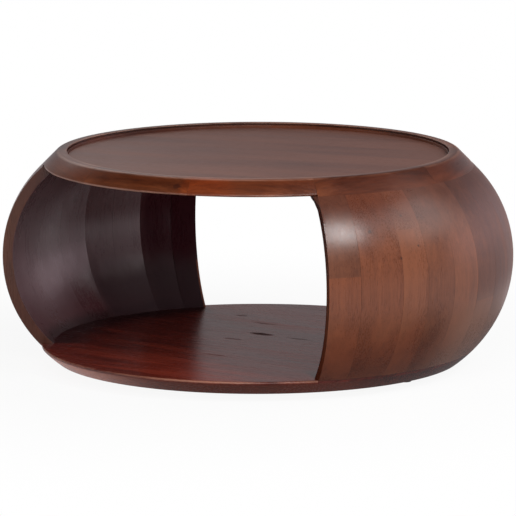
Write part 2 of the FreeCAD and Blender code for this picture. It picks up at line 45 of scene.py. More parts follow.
FOOT_RING = 0.312  # drum's axis to the middle of a foot
FOOT_COUNT = 3
FOOT_RADIUS = 0.013
FOOT_HEIGHT = 0.012
FOOT_EASE = 0.0015  # rounding of the lower edge
RECESS_RADIUS = 0.0065
RECESS_HEIGHT = 0.006
SHANK_RADIUS = 0.00235  # hole for the screw
LATHE_RADIUS = 0.01  # helping circle that a foot's section is swept round
FOOT_STEPS = 48  # flats of a turned foot
ARC_STEPS = 6  # pieces of a rounded corner
SHARP_TURN = math.radians(35)  # an edge that turns more than this stays sharp
WARM_TINT = (1.25, 0.92, 0.72)  # what full warmth does to a wood's colour
COOL_TINT = (0.82, 0.95, 1.15)


class Value:
    """One output of a node. Sums and products of values add their own nodes."""

    def __init__(self, tree, socket):
        self.tree = tree
        self.socket = socket

    def output(self, name):
        return Value(self.tree, self.socket.node.outputs[name])

    def __add__(self, other):
        return maths("ADD", self, other)

    def __sub__(self, other):
        return maths("SUBTRACT", self, other)

    def __rsub__(self, other):
        return maths("SUBTRACT", other, self)

    def __mul__(self, other):
        return maths("MULTIPLY", self, other)

    def __truediv__(self, other):
        return maths("DIVIDE", self, other)

    def __pow__(self, other):
        return maths("POWER", self, other)

    __radd__ = __add__
    __rmul__ = __mul__


def node(kind, inputs=None, tree=None, output=0, **settings):
    """Add a node: first its settings, then the values or links of its sockets.

    It goes into the tree that its linked values are in, or else into the one given.
    """
    inputs = inputs or {}
    for value in inputs.values():
        if isinstance(value, Value):
            tree = value.tree
    made = tree.nodes.new(kind)
    for name, setting in settings.items():
        setattr(made, name, setting)
    for name, value in inputs.items():
        if isinstance(value, Value):
            tree.links.new(value.socket, made.inputs[name])
        else:
            made.inputs[name].default_value = value
    return Value(tree, made.outputs[output]) if made.outputs else None


def maths(operation, *values):
    return node("ShaderNodeMath", dict(enumerate(values)), operation=operation)


def vector_maths(operation, *values):
    return node("ShaderNodeVectorMath", dict(enumerate(values)), operation=operation)


def vector(x, y, z):
    return node("ShaderNodeCombineXYZ", {"X": x, "Y": y, "Z": z})


def parts_of(value):
    """The X, Y and Z of a vector."""
    split = node("ShaderNodeSeparateXYZ", {"Vector": value})
    return split, split.output("Y"), split.output("Z")


def ranged(value, low, high, to_low=0.0, to_high=1.0):
    """Turn one range of values into another, smoothly and without going past its ends."""
    return node("ShaderNodeMapRange", {
        "Value": value, "From Min": low, "From Max": high, "To Min": to_low, "To Max": to_high,
    }, interpolation_type="SMOOTHSTEP")


def blended(share, first, second, how="MIX"):
    """Mix two colours."""
    inputs = {0: share, 6: first, 7: second}
    return node("ShaderNodeMix", inputs, output=2, data_type="RGBA", blend_type=how)


def tinted(share, colour, tint):
    """Multiply a colour by a tint, as far as the share says."""
    return blended(share, colour, (*tint, 1), "MULTIPLY")


def painted(share, colour, paint_over):
    """Lay a paint over a colour, as far as the share says."""
    return blended(share, colour, (*paint_over, 1))


def paint(red, green, blue):
    """A screen colour from 0 to 255, as light."""
    return tuple(
        share / 12.92 if share <= 0.04045 else ((share + 0.055) / 1.055) ** 2.4
        for share in (red / 255, green / 255, blue / 255)
    )


def noise(place, stretch, detail=2.0, roughness=0.5):
    """Noise whose features are so many to the metre across, along and into the wood."""
    return node("ShaderNodeTexNoise", {
        "Vector": vector_maths("MULTIPLY", place, stretch),
        "Scale": 1.0, "Detail": detail, "Roughness": roughness,
    })


def new_material(name):
    material = bpy.data.materials.new(name)
    material.use_nodes = True
    material.node_tree.nodes.clear()
    return material, material.node_tree


def bumped(strength, depth, height):
    """Small relief on a surface, as deep as a height of one stands for."""
    return node("ShaderNodeBump", {"Strength": strength, "Distance": depth, "Height": height})


def surface(inputs):
    """End a material in one shader."""
    shader = node("ShaderNodeBsdfPrincipled", inputs)
    node("ShaderNodeOutputMaterial", {"Surface": shader})


def number_kept(tree, name):
    """A number kept at the points of a piece."""
    return node("ShaderNodeAttribute", tree=tree, output="Fac", attribute_name=name)


def stained_wood(name, light, dark, gloss=0.34, streak=0.5, cloudy=1.25, seam=0.0, extra=None, worn=None):
    """Stained hardwood under lacquer, read along each piece's own grain.

    Each piece keeps its grain, its tone and warmth, its side, from -1 to 1 between its
    two joints, and how worn its arrises are, with painted light on a free end in shade.
    Seam is the share of a piece's half width that a joint line takes, and worn is
    the colour of an arris rubbed through, and of that painted light. Extra adds stains,
    marks and painted light and shade, and gives the colour, added roughness, added relief
    and lacquer.
    """
    material, tree = new_material(name)
    place = node("ShaderNodeAttribute", tree=tree, output="Vector", attribute_name="grain")
    tone = number_kept(tree, "tone")
    wander = noise(place, (7, 1.3, 7), 2) - 0.5
    across, along, depth = parts_of(place)
    bent = vector(across + wander * 0.05, along, depth)
    cloud = noise(bent, (16, 3.2, 16), 3, 0.55)
    bands = noise(bent, (95, 3.5, 95), 4, 0.62)
    fibre = noise(bent, (620, 14, 620), 3, 0.6)
    pores = noise(bent, (1500, 45, 1500), 1, 0.5)
    pore = ranged(pores, 0.62, 0.74)
    mottle = noise(bent, (230, 60, 230), 2, 0.6)
    shade = (cloud - 0.5) * cloudy + (bands - 0.5) * streak * 1.4 + (fibre - 0.5) * 0.4
    shade = shade + (mottle - 0.5) * 0.24 + tone + 0.5
    colour = painted(ranged(shade, 0.0, 1.0), (*dark, 1), light)
    colour = painted(pore * 0.35, colour, [part * 0.35 for part in dark])
    warmth = number_kept(tree, "warmth")
    colour = tinted(ranged(warmth, 0, 1), colour, WARM_TINT)
    colour = tinted(ranged(warmth, 0, -1), colour, COOL_TINT)
    matt = relief = coat = 0.0
    if extra:
        colour, matt, relief, coat = extra(tree, colour, place)
    # Arrises rubbed through, and painted light on a free end in shade
    if worn:
        rubbed_and_lit = number_kept(tree, "worn") * ranged(cloud + (fibre - 0.5) * 0.5, 0.3, 0.62)
        colour = painted(rubbed_and_lit * 0.75, colour, worn)
    rough = (cloud - 0.5) * 0.14 + (fibre - 0.5) * 0.16 + pore * 0.12 + gloss + matt
    height = fibre * 0.35 + bands * 0.25 - pore * 0.8 + relief
    if seam:
        side = maths("ABSOLUTE", number_kept(tree, "side"))
        line = ranged(side, 1 - seam, 1) * ranged(number_kept(tree, "worn"), 0.6, 0.1)
        colour = painted(line * 0.45, colour, [part * 0.3 for part in dark])
        height = height - line * 1.5
    surface({
        "Base Color": colour, "Roughness": rough, "Normal": bumped(0.12, 0.0004, height),
        "IOR": 1.5, "Coat Roughness": 0.3, "Coat IOR": 1.7, "Coat Weight": coat,
    })
    return material


def arc_points(corner, before, after, width, steps=ARC_STEPS):
    """Round one corner of an outline, from the given width before it to as far after it."""
    corner, before, after = Vector(corner), Vector(before), Vector(after)
    back, on = (before - corner).normalized(), (after - corner).normalized()
    half = back.angle(on) / 2
    centre = corner + (back + on).normalized() * (width / math.cos(half))
    start, end = corner + back * width - centre, corner + on * width - centre
    turn = start.angle(end)
    points = []
    for step in range(steps + 1):
        share = step / steps
        point = (start * math.sin((1 - share) * turn) + end * math.sin(share * turn)) / math.sin(turn)
        points.append(tuple(centre + point))
    return points


def rounded(corners, widths):
    """An outline with some of its corners rounded, by the widths given for their numbers."""
    points = []
    for index, corner in enumerate(corners):
        if index in widths:
            points += arc_points(corner, corners[index - 1], corners[index + 1], widths[index])
        else:
            points.append(corner)
    return points


def outline_mesh(name, points, marks=None):
    """A closed outline as edges alone, with named numbers kept at its points."""
    mesh = bpy.data.meshes.new(name)
    count = len(points)
    edges = [(index, (index + 1) % count) for index in range(count)]
    mesh.from_pydata([(across, -up, 0) for across, up in points], edges, [])
    for mark, numbers in (marks or {}).items():
        mesh.attributes.new(mark, "FLOAT", "POINT").data.foreach_set("value", numbers)
    return mesh


def new_tree(name, inputs):
    """Start a geometry tree with its named inputs; give it, its inputs and their values."""
    tree = bpy.data.node_groups.new(name, "GeometryNodeTree")
    tree.interface.new_socket("Geometry", in_out="INPUT", socket_type="NodeSocketGeometry")
    tree.interface.new_socket("Geometry", in_out="OUTPUT", socket_type="NodeSocketGeometry")
    sockets = {}
    for label, kind in inputs.items():
        sockets[label] = tree.interface.new_socket(label, in_out="INPUT", socket_type="NodeSocket" + kind)
    group = node("NodeGroupInput", tree=tree)
    values = {label: group.output(label) for label in ("Geometry", *inputs)}
    return tree, sockets, values


def stored(geometry, name, value, kind="FLOAT", domain="POINT"):
    """Keep a value at the points of a mesh, or at its edges."""
    return node("GeometryNodeStoreNamedAttribute", {
        "Geometry": geometry, "Name": name, "Value": value,
    }, data_type=kind, domain=domain)


def end_tree(geometry, material):
    """Close a geometry tree: instances made real, and the material given."""
    real = node("GeometryNodeRealizeInstances", {"Geometry": geometry})
    done = node("GeometryNodeSetMaterial", {"Geometry": real, "Material": material})
    node("NodeGroupOutput", {"Geometry": done})


def grown(name, mesh, tree, sockets, settings, bevel=None):
    """Run a geometry tree on a mesh and keep the result as a plain piece."""
    source = bpy.data.objects.new(name + "_source", mesh)
    bpy.context.scene.collection.objects.link(source)
    modifier = source.modifiers.new("tree", "NODES")
    modifier.node_group = tree
    for label, setting in settings.items():
        modifier[sockets[label].identifier] = setting
    if bevel:
        eased = source.modifiers.new("ease", "BEVEL")
        eased.width, eased.segments = bevel, 3
        eased.limit_method = "WEIGHT"
    bpy.context.view_layer.update()
    plain = bpy.data.meshes.new_from_object(source.evaluated_get(bpy.context.evaluated_depsgraph_get()))
    bpy.data.objects.remove(source)
    return finished(name, plain)


def finished(name, mesh):
    """Put a mesh into the scene, smooth where it turns gently."""
    mesh.name = name
    mesh.shade_smooth()
    mesh.set_sharp_from_angle(angle=SHARP_TURN)
    piece = bpy.data.objects.new(name, mesh)
    bpy.context.scene.collection.objects.link(piece)
    return piece


dark_foot_wood = stained_wood("dark_foot_wood", paint(58, 38, 30), paint(24, 15, 13), gloss=0.5)

foot_outline = rounded([
    (RECESS_RADIUS, 0), (FOOT_RADIUS, 0), (FOOT_RADIUS, FOOT_HEIGHT), (SHANK_RADIUS, FOOT_HEIGHT),
    (SHANK_RADIUS, RECESS_HEIGHT), (RECESS_RADIUS, RECESS_HEIGHT),
], {1: FOOT_EASE})

tree, feet_sockets, given = new_tree("feet_tree", {
    "Ring Radius": "Float", "Count": "Int", "Turned Steps": "Int", "Material": "Material",
})
foot_profile = node("GeometryNodeMeshToCurve", {"Mesh": given["Geometry"]})
lathe_path = node("GeometryNodeCurvePrimitiveCircle", {
    "Resolution": given["Turned Steps"], "Radius": LATHE_RADIUS,
})
one_foot = node("GeometryNodeCurveToMesh", {
    "Curve": lathe_path, "Profile Curve": foot_profile,
})
ring = node("GeometryNodeCurvePrimitiveCircle", {
    "Resolution": given["Count"], "Radius": given["Ring Radius"],
})
stood = node("GeometryNodeInstanceOnPoints", {"Points": ring, "Instance": one_foot})
foot_place = node("GeometryNodeInputPosition", tree=tree)
feet_real = node("GeometryNodeRealizeInstances", {"Geometry": stood})
feet_real = stored(feet_real, "grain", foot_place, "FLOAT_VECTOR")
end_tree(feet_real, given["Material"])

feet = grown(
    "feet", outline_mesh("foot_outline", [(across - LATHE_RADIUS, up) for across, up in foot_outline]),
    tree, feet_sockets,
    {"Ring Radius": FOOT_RING, "Count": FOOT_COUNT, "Turned Steps": FOOT_STEPS, "Material": dark_foot_wood},
)
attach(feet, "root")
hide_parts("foot_1", "foot_2", "foot_3")


# Foot screws
# One steel wood screw in each foot's recess, turned up into the base. Its domed head is
# all of it that can be seen, from below.


def object_place(tree):
    """Where a point lies in the object."""
    return node("ShaderNodeTexCoord", tree=tree, output="Object")


brushed_steel, tree = new_material("brushed_steel")
steel_place = object_place(tree)
steel_scratch = noise(steel_place, (2400, 260, 900), 3, 0.6)
steel_cloud = noise(steel_place, (160, 160, 160), 2, 0.5)
surface({
    "Base Color": painted(steel_cloud, (*paint(168, 168, 170), 1), paint(128, 127, 126)),
    "Metallic": 1.0,
    "Roughness": (steel_scratch - 0.5) * 0.22 + (steel_cloud - 0.5) * 0.1 + 0.34,
    "Normal": bumped(0.1, 0.0001, steel_scratch),
})


def refinished(name, material):
    """Give a CAD part that stays its finished material."""
    for slot in bpy.data.objects[name].material_slots:
        slot.material = material


refinished("foot_screws", brushed_steel)


# Base
# A round floor of seven hardwood boards, edge-glued, with the grain from shell to shell.
# It is turned to the drum's curve, and its top edge is rounded where the openings leave
# it free. Stained and lacquered, and glossier than the shells.

BASE_UNDER = 0.012  # heights above the floor
BASE_TOP = 0.037
BELLY_UP = 0.194
SHOULDER_UP = 0.344
TABLE_TOP = 0.380
UNDER_RADIUS = 0.358  # radii of the drum's outer curve at those heights
BELLY_RADIUS = 0.4499
SHOULDER_RADIUS = 0.3882
TOP_RADIUS = 0.3525
BASE_EASE = 0.007  # rounding of the base's top edge
SHELL_HALF = math.radians(38.75)  # half the angle that a shell takes
OPENING = 2 * math.pi - 4 * SHELL_HALF
TURNED_STEP = math.radians(1.5)  # angle between two points of a turned edge
CHANGE_HALF = 0.0002  # half the angle over which an edge changes at a shell's end
PAST_ROUND = 0.01  # how far an outer board is taken past the round before turning


def arc_radius(up):
    """Radius of the arc that the drum's outer curve follows at a height."""
    if up < BELLY_UP:
        rise, run = BELLY_UP - BASE_UNDER, BELLY_RADIUS - UNDER_RADIUS
    else:
        rise, run = SHOULDER_UP - BELLY_UP, BELLY_RADIUS - SHOULDER_RADIUS
    return (rise * rise + run * run) / (2 * run)


def curve_radius(up, wall=0.0):
    """Radius of the drum's outer curve at a height, or of one a wall further in."""
    slope = math.atan2(SHOULDER_RADIUS - TOP_RADIUS, TABLE_TOP - SHOULDER_UP)
    straight_from = SHOULDER_UP - wall * math.sin(slope)
    if up >= straight_from:
        start = SHOULDER_RADIUS - wall * math.cos(slope)
        return start - (up - straight_from) * math.tan(slope)
    arc = arc_radius(up)
    return BELLY_RADIUS - arc + math.sqrt((arc - wall) ** 2 - (up - BELLY_UP) ** 2)


def lies_in_opening(angle):
    """Whether an angle about the drum's axis lies in an opening and not at a shell."""
    return abs((angle + math.pi / 2) % math.pi - math.pi / 2) > SHELL_HALF


def turned_board(name, near, far, levels, shift, worn_levels=()):
    """One board of a round made of boards, between two straight sides.

    Levels run from below to above; each is a radius and height in an opening, and a
    radius and height under a shell. Worn levels are the ones on a rubbed arris.
    """
    widest = levels[0][0][0]
    breaks = []
    for middle in (0, math.pi, 2 * math.pi):
        for edge in (middle - SHELL_HALF, middle + SHELL_HALF):
            breaks += [edge - CHANGE_HALF, edge + CHANGE_HALF]
    last = near > 0 and far > widest
    first = far < 0 and -near > widest

    def ends(radius):
        """Where the arcs of a board start and end on a circle: one arc, or one at each end."""
        if last:
            return [(math.asin(near / radius), math.pi - math.asin(near / radius))]
        if first:
            return [(math.pi - math.asin(far / radius), 2 * math.pi + math.asin(far / radius))]
        low, high = math.asin(near / radius), math.asin(far / radius)
        return [(low, high), (math.pi - high, math.pi - low)]

    # Points of each arc at each level, in step past the places where a shell starts or ends
    arcs = []
    for arc, (start, end) in enumerate(ends(widest)):
        inside = [edge for edge in breaks if start < edge < end]
        plan = [start, *inside, end]
        counts = [max(1, round((high - low) / TURNED_STEP)) for low, high in zip(plan, plan[1:])]
        rows = []
        for free, held in levels:
            marks = [ends(free[0])[arc][0], *inside, ends(free[0])[arc][1]]
            row = []
            for low, high, count in zip(marks, marks[1:], counts):
                row += [low + (high - low) * step / count for step in range(count)]
            row.append(marks[-1])
            points = []
            for angle in row:
                radius, up = free if lies_in_opening(angle) else held
                points.append((radius * math.cos(angle), radius * math.sin(angle), up))
            rows.append(points)
        arcs.append(rows)

    # Faces between the levels, above and below, and at the straight sides
    mesh = bpy.data.meshes.new(name)
    build = bmesh.new()
    rubbed_and_lit = build.verts.layers.float.new("worn")
    grid = [[[build.verts.new(point) for point in row] for row in rows] for rows in arcs]
    for rows in grid:
        for level, share in worn_levels:
            for vert in rows[level]:
                vert[rubbed_and_lit] = share if lies_in_opening(math.atan2(vert.co.y, vert.co.x)) else 0.0
        for low, high in zip(rows, rows[1:]):
            for index in range(len(low) - 1):
                build.faces.new((low[index], low[index + 1], high[index + 1], high[index]))
    build.faces.new([vert for rows in grid for vert in rows[-1]])
    build.faces.new([vert for rows in grid for vert in rows[0]][::-1])
    for rows, after in zip(grid, grid[1:] + grid[:1]):
        column = [row[-1] for row in rows]
        build.faces.new(column + [row[0] for row in reversed(after)])

    # Keep the straight sides straight under the shells, where the radius differs
    for vert in build.verts:
        vert.co.y = min(max(vert.co.y, near), far)
    bmesh.ops.recalc_face_normals(build, faces=build.faces)
    build.to_mesh(mesh)
    build.free()
    grain, sides = [], []
    half = (far - near) / 2
    for vert in mesh.vertices:
        x, y, z = vert.co
        grain += [y + shift[0], x + shift[1], z + shift[2]]
        sides.append((y - near) / half - 1)
    mesh.attributes.new("grain", "FLOAT_VECTOR", "POINT").data.foreach_set("vector", grain)
    mesh.attributes.new("side", "FLOAT", "POINT").data.foreach_set("value", sides)
    return finished(name, mesh)


def toned(piece, tone, warmth):
    """Keep a piece's own tone and warmth, as boards differ."""
    for label, number in (("tone", tone), ("warmth", warmth)):
        kept = piece.data.attributes.new(label, "FLOAT", "POINT")
        kept.data.foreach_set("value", [number] * len(piece.data.vertices))


def fitted(piece, node_name, slot, material, tone=0.0, warmth=0.0):
    """Let a finished piece stand for its CAD part."""
    toned(piece, tone, warmth)
    if not piece.data.materials:
        piece.data.materials.append(material)
    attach(piece, "root")
    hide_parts(node_name)


def grain_shift(seed):
    """A place of its own in the wood for each piece."""
    chance = random.Random(seed)
    return [chance.uniform(-9, 9) for _ in range(3)]


def round_of_boards(part, radius, tones, levels, material, seed=0, turn=0.0, worn_levels=()):
    """A round of as many boards as it has tones, side by side; the outer two reach past it."""
    joints = [-radius + 2 * radius * number / len(tones) for number in range(len(tones) + 1)]
    joints[0] -= PAST_ROUND
    joints[-1] += PAST_ROUND
    for number, (near, far, tone) in enumerate(zip(joints, joints[1:], tones), 1):
        name = f"{part}_board_{number}"
        board = turned_board(name + "_turned", near, far, levels, grain_shift(seed + number), worn_levels)
        board.data.transform(Matrix.Rotation(turn, 4, "Z"))
        fitted(board, name, part + "_wood", material, tone)


# Dark knots and checks that the photograph shows: place, half size along and across, darkness
BASE_KNOTS = (
    (-0.175, 0.191, 0.012, 0.0060, 0.25), (-0.093, 0.150, 0.024, 0.0042, 0.3),
    (-0.037, 0.061, 0.022, 0.0085, 0.75), (-0.048, -0.007, 0.018, 0.0050, 0.3),
    (0.047, 0.060, 0.026, 0.0040, 0.25), (0.016, -0.150, 0.022, 0.0036, 0.25),
    (-0.120, -0.060, 0.010, 0.0030, 0.25), (0.140, 0.020, 0.012, 0.0030, 0.25),
    (0.100, 0.200, 0.014, 0.0040, 0.25),
)
KNOT_PAINT = paint(40, 15, 12)
EDGE_PAINT = paint(120, 58, 40)  # the base's edge in the middle
# Painted light on the base's edge to the left, and painted shade on it to the right
EDGE_LIT_PAINT = paint(222, 134, 98)
EDGE_LIT_SPAN = (0.08, -0.2)  # from where to where the edge turns to its painted lit colour
EDGE_SHADE_PAINT = paint(80, 40, 34)
EDGE_SHADE_SPAN = (0.31, 0.37)
CORNER_SHADE_PAINT = paint(26, 9, 8)  # painted shade in the corner at the shells
CORNER_SHADE_RADII = (0.265, 0.34)  # radii between which the painted shade comes in
TOP_DEPTH = 0.001  # how far under its top the base is marked as the top is


def under_shells(x, y, start, end):
    """How far a place lies under the shells and not in the openings."""
    return ranged(maths("ABSOLUTE", y) - maths("ABSOLUTE", x) * 0.8, start, end)


def knot_share(x, y, knots, ragged):
    """How far a place lies inside any of a few long knots."""
    share = None
    for along, across, length, width, darkness in knots:
        off_along = (x - along) / length
        off_across = (y - across + ragged * 0.012) / width
        inside = ranged(off_along * off_along + off_across * off_across, 1.7, 0.2) * darkness
        share = inside if share is None else maths("MAXIMUM", share, inside)
    return share


def base_marks_and_light(tree, colour, place):
    """Knots on the base, painted light and shade on its edge, and painted shade at the foot of the shells.
    """
    ground = object_place(tree)
    x, y, z = parts_of(ground)
    ragged = noise(ground, (70, 160, 70), 3, 0.6) - 0.5
    knots = knot_share(x, y, BASE_KNOTS, ragged)
    knots = knots * ranged(z, BASE_TOP - 3 * TOP_DEPTH, BASE_TOP - TOP_DEPTH)
    colour = painted(knots, colour, KNOT_PAINT)
    edge = ranged(z, BASE_TOP - 3 * TOP_DEPTH, BASE_TOP - BASE_EASE)
    # The edge, painted lit on the left and painted shade on the right
    edge_colour_and_light = painted(ranged(x, *EDGE_LIT_SPAN), (*EDGE_PAINT, 1), EDGE_LIT_PAINT)
    edge_colour_and_light = painted(ranged(x, *EDGE_SHADE_SPAN), edge_colour_and_light, EDGE_SHADE_PAINT)
    colour = blended(edge * 0.8, colour, edge_colour_and_light)
    # Painted shade in the corner at the foot of the shells
    away = (x * x + y * y) ** 0.5 + ragged * 0.02
    corner = ranged(away, *CORNER_SHADE_RADII) * under_shells(x, y, 0.01, -0.01)
    corner = corner * ranged(z, BASE_TOP - 0.9 * TOP_DEPTH, BASE_TOP - 0.2 * TOP_DEPTH)
    return painted(corner * 0.9, colour, CORNER_SHADE_PAINT), knots * 0.7, 0.0, 0.0


base_wood = stained_wood(
    "base_wood", paint(146, 54, 36), paint(72, 21, 15), gloss=0.26, streak=0.7, seam=0.005,
    extra=base_marks_and_light, worn=paint(190, 140, 118),
)

SIDE_STEPS = 4  # points up the base's side
EASE_HALF = 4  # points in each half of its rounded edge
base_levels = []
ease_angle = math.asin((BELLY_UP - BASE_TOP) / arc_radius(BASE_TOP))
ease_low = BASE_TOP - BASE_EASE * math.cos(ease_angle)
for step in range(SIDE_STEPS + 1):
    up = BASE_UNDER + (ease_low - BASE_UNDER) * step / SIDE_STEPS
    base_levels.append(((curve_radius(up), up), (curve_radius(up), up)))
base_radius = curve_radius(BASE_TOP)
rounding = arc_points(
    (base_radius, BASE_TOP), (curve_radius(ease_low), ease_low), (base_radius - BASE_EASE, BASE_TOP),
    BASE_EASE, 2 * EASE_HALF,
)[1:]
for step, point in enumerate(rounding, 1):
    if step <= EASE_HALF:
        up = ease_low + (BASE_TOP - ease_low) * step / EASE_HALF
        held = (curve_radius(up), up)
    else:
        held = (base_radius - BASE_EASE * (step - EASE_HALF) / EASE_HALF, BASE_TOP)
    base_levels.append((point, held))
inner_flat = (base_radius - BASE_EASE - 2 * TOP_DEPTH, BASE_TOP)
base_levels.append((inner_flat, inner_flat))

BASE_TONES = (-0.02, 0.04, -0.05, 0.03, -0.03, 0.05, 0.0)
EASE_WORN = (0.3, 0.6, 0.9, 1.0, 0.8, 0.4)  # how rubbed the rounded edge is, from below to above
rubbed_levels = [(SIDE_STEPS + step, share) for step, share in enumerate(EASE_WORN, 2)]
round_of_boards("base", base_radius, BASE_TONES, base_levels, base_wood, worn_levels=rubbed_levels)


# Base dowels
# Eighteen turned beech dowels, one up into the foot of each stave. They are hidden.

dowel_beech, tree = new_material("dowel_beech")
beech_place = object_place(tree)
beech_fibre = noise(beech_place, (900, 900, 60), 3, 0.6)
beech_cloud = noise(beech_place, (40, 40, 12), 2, 0.5)
surface({
    "Base Color": painted(
        ranged(beech_fibre * 0.5 + beech_cloud * 0.5, 0.3, 0.7),
        (*paint(196, 158, 118), 1), paint(222, 190, 150),
    ),
    "Roughness": (beech_fibre - 0.5) * 0.2 + 0.62,
    "Normal": bumped(0.15, 0.0002, beech_fibre),
})
refinished("base_dowels", dowel_beech)


# Staves
# Two shells, each coopered from nine staves of stained hardwood. Every stave is sawn to
# the drum's curve, bevelled at its sides and glued to the next, and left flat across
# inside. Some are two blocks butted end to end. The free ends' arrises are sanded round.

WALL = 0.018  # thickness of a stave, square to the curve
RIM_UNDER = 0.353
STAVE_STEP = 0.006  # height between two points of the curve
ARRIS = 0.0014  # rounding of a shell's free edges
SHARED_DRAW = 0.9905  # brings a wide flat's edges level with the flats beside it
FLARE = 0.008  # how far a shell's free edge runs out under the rim
FLARE_RISE = 0.026  # height over which it runs out
STAVE_SPAN = 2 * SHELL_HALF
RIGHT_SHARES = (0.095, 0.135, 0.09, 0.105, 0.115, 0.115, 0.115, 0.115, 0.115)
LEFT_SHARES = (0.081, 0.108, 0.108, 0.108, 0.119, 0.119, 0.119, 0.119, 0.119)
RIGHT_BUTTS = {1: 0.59, 3: 0.81, 6: 0.36}
LEFT_BUTTS = {2: 0.68, 5: 0.42, 8: 0.55}
SWEEP_STEP = 0.6  # degrees between two points of a swept piece
AT_JOINT = 0.9999  # side number past which a point is on a joint
LEVEL = 0.0001  # an edge that rises less than this is level


def number_at(tree, name):
    """A number kept at the points, as a geometry tree reads it."""
    return node("GeometryNodeInputNamedAttribute", {"Name": name}, tree, data_type="FLOAT")


sweep_tree, sweep_sockets, given = new_tree("swept_tree", {
    "Rail Radius": "Float", "Sweep": "Float", "Steps": "Int", "Middle": "Float", "Shift": "Vector",
    "Grain Upright": "Bool", "Facet Middle": "Float", "Flat Draw": "Float", "Flare": "Float",
    "End Wear And Light": "Float", "Start Ease": "Float", "End Ease": "Float", "Material": "Material",
})

# Sweep the section along an arc
sweep_profile = node("GeometryNodeMeshToCurve", {"Mesh": given["Geometry"]})
sweep_rail = node("GeometryNodeCurveArc", {
    "Resolution": given["Steps"] + 1, "Radius": given["Rail Radius"],
    "Start Angle": given["Sweep"] * -0.5, "Sweep Angle": given["Sweep"],
}, mode="RADIUS")
sweep_rail = node("GeometryNodeSetCurveNormal", {"Curve": sweep_rail}, mode="Z_UP")
swept = node("GeometryNodeCurveToMesh", {
    "Curve": sweep_rail, "Profile Curve": sweep_profile, "Fill Caps": True,
})

# Plane the inside flat
spot = node("GeometryNodeInputPosition", tree=sweep_tree)
spot_x, spot_y, spot_z = parts_of(spot)
angle_on = maths("ARCTAN2", spot_y, spot_x)
flat_scale = given["Flat Draw"] / maths("COSINE", angle_on - given["Facet Middle"])
flat_scale = number_at(sweep_tree, "planed") * (flat_scale - 1) + 1
planed_place = vector(spot_x * flat_scale, spot_y * flat_scale, spot_z)
swept = node("GeometryNodeSetPosition", {"Geometry": swept, "Position": planed_place})

# Let a free edge run out under the rim
side_now = angle_on * 2 / given["Sweep"]
flare_side = ranged(side_now * maths("SIGN", given["Flare"]), -1.0, 1.0)
flare_up = ranged(spot_z, RIM_UNDER - FLARE_RISE, RIM_UNDER) ** 2.0
flare_angle = given["Flare"] * flare_side * flare_up
flared = node("ShaderNodeVectorRotate", {
    "Vector": node("GeometryNodeInputPosition", tree=sweep_tree), "Angle": flare_angle,
}, rotation_type="Z_AXIS")
swept = node("GeometryNodeSetPosition", {"Geometry": swept, "Position": flared})

# Keep the grain, the side, and how worn it is with any painted light on a free end in shade
upright_grain = vector(spot_y, spot_z, spot_x)
level_grain = vector(spot_x, spot_y, spot_z)
sweep_grain = node("GeometryNodeSwitch", {
    "Switch": given["Grain Upright"], "False": level_grain, "True": upright_grain,
}, input_type="VECTOR")
shifted_grain = vector_maths("ADD", sweep_grain, given["Shift"])
swept = stored(swept, "grain", shifted_grain, "FLOAT_VECTOR")
swept = stored(swept, "side", side_now)
at_start = maths("LESS_THAN", number_at(sweep_tree, "side"), -AT_JOINT)
at_end = maths("GREATER_THAN", number_at(sweep_tree, "side"), AT_JOINT)
at_free_edge = at_start * given["Start Ease"] + at_end * given["End Ease"]
# A free end's painted light is kept together with its wear
wear_and_light_on = number_at(sweep_tree, "worn") + at_free_edge * given["End Wear And Light"]
swept = stored(swept, "worn", wear_and_light_on)

# Mark the upright edges of a free end, to be rounded
edge_ends = node("GeometryNodeInputMeshEdgeVertices", tree=sweep_tree, output="Position 1")
rise_of_edge = vector_maths("SUBTRACT", edge_ends, edge_ends.output("Position 2"))
rise_of_edge = maths("ABSOLUTE", parts_of(rise_of_edge)[2])
climbs = maths("GREATER_THAN", rise_of_edge, LEVEL)
swept = stored(swept, "bevel_weight_edge", climbs * at_free_edge, domain="EDGE")

# Turn it to its place
turn = node("FunctionNodeEulerToRotation", {
    "Euler": vector(0.0, 0.0, given["Middle"]),
})
swept = node("GeometryNodeTransform", {"Geometry": swept, "Rotation": turn})
end_tree(swept, given["Material"])


def swept_piece(
    name, points, marks, middle, sweep, material, upright, seed, eases=(0.0, 0.0), facet=0.0, end_wear_and_light=0.0,
):
    """Sweep a section about the drum's axis.

    Upright is the way of the grain. Eases say which of the two ends is a free edge to be
    rounded, facet where the middle of its flat lies, and end_wear_and_light how rubbed a free
    edge is, together with the painted light that it gets.
    """
    rail = sum(across for across, _ in points) / len(points)
    return grown(
        name, outline_mesh(name + "_outline", [(across - rail, up) for across, up in points], marks),
        sweep_tree, sweep_sockets, {
            "Rail Radius": rail, "Sweep": sweep, "Steps": max(4, round(math.degrees(sweep) / SWEEP_STEP)),
            "Middle": middle, "Shift": grain_shift(seed), "Grain Upright": upright,
            "Facet Middle": facet, "Flat Draw": SHARED_DRAW if facet else 1.0,
            "Flare": (eases[1] - eases[0]) * FLARE / curve_radius(RIM_UNDER),
            "End Wear And Light": end_wear_and_light, "Start Ease": eases[0], "End Ease": eases[1], "Material": material,
        },
        bevel=ARRIS if any(eases) else None,
    )


